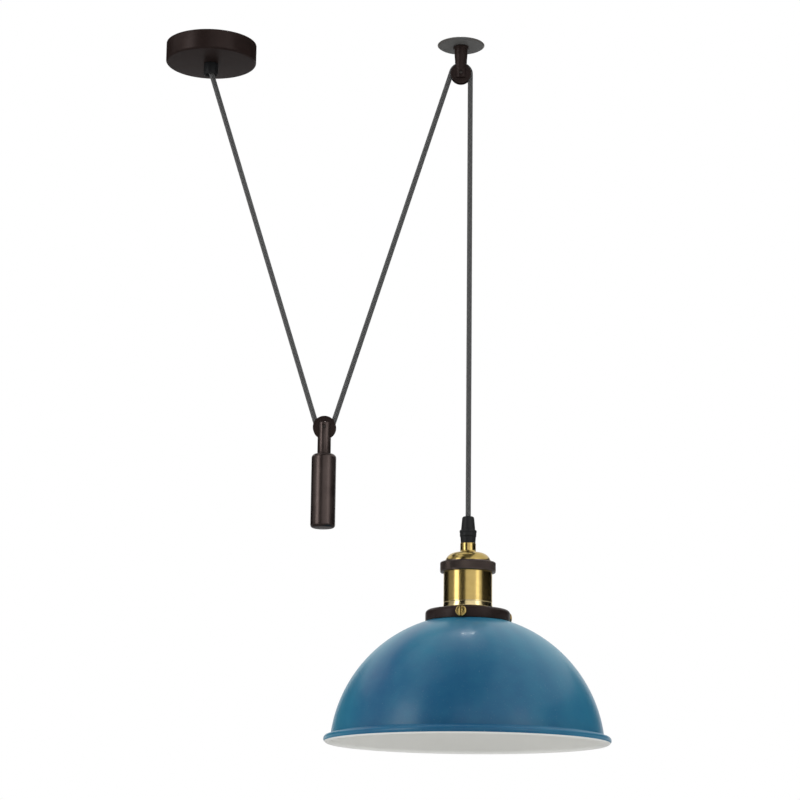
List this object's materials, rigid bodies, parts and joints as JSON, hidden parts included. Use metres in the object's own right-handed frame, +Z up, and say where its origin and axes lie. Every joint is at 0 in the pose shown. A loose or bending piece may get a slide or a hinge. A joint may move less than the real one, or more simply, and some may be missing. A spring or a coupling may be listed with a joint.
{
  "type": "rise and fall pendant light",
  "caption": "Ceiling pendant with a domed shade on a cord that runs over a ceiling pulley and a hanging pulley weight, so the lamp can be raised and lowered.",
  "frame": {"origin": "centre of the ceiling rose on the ceiling plane", "axes": "+Z up, +X from the rose to the ceiling hook, pulleys turn about Y"},
  "size_m": [0.4885, 0.3, 0.7711],
  "materials": {
    "bronze_paint": "satin dark bronze lacquer",
    "polished_brass": "lightly aged, lacquered",
    "black_plastic": "satin",
    "plated_steel": "zinc plated",
    "nylon": "translucent white nylon",
    "porcelain": "glazed",
    "blue_enamel": "glossy blue enamel outside, off-white inside",
    "braided_cord": "woven textile braid",
    "lead_insulation": "smooth insulation"
  },
  "bodies": {
    "ceiling_fittings": {"rose_cover": "bronze_paint", "rose_bracket": "plated_steel", "cover_screws": "bronze_paint", "terminal_block": "nylon", "terminal_inserts": "polished_brass", "terminal_screws": "plated_steel", "block_screw": "plated_steel", "earth_screw": "polished_brass", "rose_nipple": "plated_steel", "rose_nut": "plated_steel", "rose_cord_grip": "black_plastic", "rose_grip_screw": "black_plastic", "rose_leads": "lead_insulation", "cord_rose_end": "braided_cord", "cord_left_fall": "braided_cord", "cord_right_fall": "braided_cord", "hook_plate": "bronze_paint", "hook_fork": "bronze_paint", "hook_axle": "plated_steel", "cord_hook_wrap": "braided_cord"},
    "hook_pulley": {"hook_wheel": "bronze_paint"},
    "counterweight": {"weight_body": "bronze_paint", "weight_fork": "bronze_paint", "weight_axle": "plated_steel", "cord_weight_wrap": "braided_cord"},
    "weight_pulley": {"weight_wheel": "bronze_paint"},
    "lamp": {"lamp_grip_cap": "black_plastic", "lamp_grip_body": "black_plastic", "lamp_nipple": "plated_steel", "lamp_nut": "plated_steel", "earth_tag": "polished_brass", "lamp_leads": "lead_insulation", "holder_cap": "polished_brass", "knurled_ring": "bronze_paint", "holder_sleeve": "polished_brass", "porcelain_core": "porcelain", "socket_terminals": "polished_brass", "socket_terminal_screws": "plated_steel", "socket_shell": "polished_brass", "centre_contact": "polished_brass", "shade_holder": "bronze_paint", "lock_ring": "black_plastic", "shade_screws": "polished_brass", "shade": "blue_enamel", "cord_drop": "braided_cord", "cord_lamp_end": "braided_cord"}
  },
  "joints": [
    {"name": "lamp_travel", "type": "slide", "parent": "ceiling_fittings", "child": "lamp", "axis": [0, 0, 1], "range_m": [-0.35, 0.11], "deforming": ["cord_drop"]},
    {"name": "weight_travel", "type": "slide", "parent": "ceiling_fittings", "child": "counterweight", "axis": [0, 0, 1], "range_m": [-0.0594, 0.189], "deforming": ["cord_left_fall", "cord_right_fall"]},
    {"name": "hook_pulley_turn", "type": "hinge", "parent": "ceiling_fittings", "child": "hook_pulley", "pos_m": [0.278, 0, -0.034], "axis": [0, 1, 0], "continuous": true},
    {"name": "weight_pulley_turn", "type": "hinge", "parent": "counterweight", "child": "weight_pulley", "pos_m": [0.13375, 0, -0.435], "axis": [0, 1, 0], "continuous": true}
  ],
  "couplings": [
    {"joint": "weight_travel", "follows": "lamp_travel", "ratio": -0.54},
    {"joint": "hook_pulley_turn", "follows": "lamp_travel", "rad_per_m": -95.238},
    {"joint": "weight_pulley_turn", "follows": "lamp_travel", "rad_per_m": 66.667}
  ]
}
